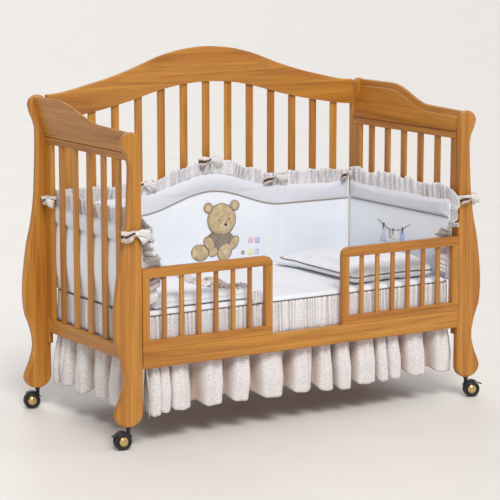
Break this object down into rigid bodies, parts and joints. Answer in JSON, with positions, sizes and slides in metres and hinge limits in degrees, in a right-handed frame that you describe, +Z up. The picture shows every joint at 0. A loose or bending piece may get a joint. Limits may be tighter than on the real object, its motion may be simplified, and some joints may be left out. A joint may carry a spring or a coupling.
{
  "type": "baby crib",
  "caption": "Wooden baby crib with scroll-shaped posts, arched slatted back, two half guard rails, bedding with gathered skirt, on swivelling twin-wheel casters.",
  "frame": {"origin": "on the floor, under the middle of the wooden frame", "axes": "+X along the crib's length, to the right as seen from the open front; -Y towards the open front; +Z up"},
  "size_m": [1.4265, 0.6899, 1.188],
  "materials": {
    "honey_wood": "satin lacquer over honey-coloured solid wood, straight grain",
    "pale_wood": "plain unfinished wood",
    "black_plastic": "black moulded plastic with a soft sheen",
    "white_cotton": "white woven cotton, quilted and piped",
    "printed_cotton": "white cotton with a fine beige print, gathered"
  },
  "bodies": {
    "root": {"post_front_left": "honey_wood", "post_front_right": "honey_wood", "post_rear_left": "honey_wood", "post_rear_right": "honey_wood", "front_rail": "honey_wood", "guard_rail_left": "honey_wood", "guard_rail_right": "honey_wood", "rear_top_rail": "honey_wood", "rear_bottom_rail": "honey_wood", "rear_slat_1": "honey_wood", "rear_slat_2": "honey_wood", "rear_slat_3": "honey_wood", "rear_slat_4": "honey_wood", "rear_slat_5": "honey_wood", "rear_slat_6": "honey_wood", "rear_slat_7": "honey_wood", "rear_slat_8": "honey_wood", "rear_slat_9": "honey_wood", "rear_slat_10": "honey_wood", "rear_slat_11": "honey_wood", "rear_slat_12": "honey_wood", "rear_slat_13": "honey_wood", "end_board_left": "honey_wood", "end_mid_rail_left": "honey_wood", "end_bottom_rail_left": "honey_wood", "end_stile_front_left": "honey_wood", "end_stile_rear_left": "honey_wood", "end_slat_left_1": "honey_wood", "end_slat_left_2": "honey_wood", "end_slat_left_3": "honey_wood", "end_slat_left_4": "honey_wood", "end_slat_left_5": "honey_wood", "end_board_right": "honey_wood", "end_mid_rail_right": "honey_wood", "end_bottom_rail_right": "honey_wood", "end_stile_front_right": "honey_wood", "end_stile_rear_right": "honey_wood", "end_slat_right_1": "honey_wood", "end_slat_right_2": "honey_wood", "end_slat_right_3": "honey_wood", "end_slat_right_4": "honey_wood", "end_slat_right_5": "honey_wood", "mattress_base": "pale_wood", "mattress": "white_cotton", "bumper_left": "white_cotton", "bumper_rear": "white_cotton", "bumper_right": "white_cotton", "bed_skirt": "printed_cotton", "pillow": "white_cotton", "duvet": "white_cotton"},
    "caster_front_left": {"caster_frame_front_left": "black_plastic"},
    "wheels_front_left": {"caster_wheel_front_left": "black_plastic"},
    "brake_front_left": {"brake_lever_front_left": "black_plastic"},
    "caster_front_right": {"caster_frame_front_right": "black_plastic"},
    "wheels_front_right": {"caster_wheel_front_right": "black_plastic"},
    "brake_front_right": {"brake_lever_front_right": "black_plastic"},
    "caster_rear_left": {"caster_frame_rear_left": "black_plastic"},
    "wheels_rear_left": {"caster_wheel_rear_left": "black_plastic"},
    "caster_rear_right": {"caster_frame_rear_right": "black_plastic"},
    "wheels_rear_right": {"caster_wheel_rear_right": "black_plastic"}
  },
  "joints": [
    {"name": "swivel_front_left", "type": "hinge", "parent": "root", "child": "caster_front_left", "pos_m": [-0.658, -0.3165, 0.07], "axis": [0, 0, 1], "continuous": true},
    {"name": "roll_front_left", "type": "hinge", "parent": "caster_front_left", "child": "wheels_front_left", "pos_m": [-0.67792, -0.31476, 0.0275], "axis": [-0.0872, -0.9962, 0], "continuous": true},
    {"name": "brake_front_left", "type": "hinge", "parent": "caster_front_left", "child": "brake_front_left", "pos_m": [-0.69825, -0.31298, 0.05017], "axis": [-0.0872, -0.9962, 0], "range_deg": [0, 15]},
    {"name": "swivel_front_right", "type": "hinge", "parent": "root", "child": "caster_front_right", "pos_m": [0.658, -0.3165, 0.07], "axis": [0, 0, 1], "continuous": true},
    {"name": "roll_front_right", "type": "hinge", "parent": "caster_front_right", "child": "wheels_front_right", "pos_m": [0.67654, -0.32399, 0.0275], "axis": [0.3746, 0.9272, 0], "continuous": true},
    {"name": "brake_front_right", "type": "hinge", "parent": "caster_front_right", "child": "brake_front_right", "pos_m": [0.69547, -0.33164, 0.05017], "axis": [0.3746, 0.9272, 0], "range_deg": [0, 15]},
    {"name": "swivel_rear_left", "type": "hinge", "parent": "root", "child": "caster_rear_left", "pos_m": [-0.658, 0.3165, 0.07], "axis": [0, 0, 1], "continuous": true},
    {"name": "roll_rear_left", "type": "hinge", "parent": "caster_rear_left", "child": "wheels_rear_left", "pos_m": [-0.67713, 0.32235, 0.0275], "axis": [-0.2924, -0.9563, 0], "continuous": true},
    {"name": "swivel_rear_right", "type": "hinge", "parent": "root", "child": "caster_rear_right", "pos_m": [0.658, 0.3165, 0.07], "axis": [0, 0, 1], "continuous": true},
    {"name": "roll_rear_right", "type": "hinge", "parent": "caster_rear_right", "child": "wheels_rear_right", "pos_m": [0.67679, 0.32334, 0.0275], "axis": [-0.342, 0.9397, 0], "continuous": true}
  ]
}
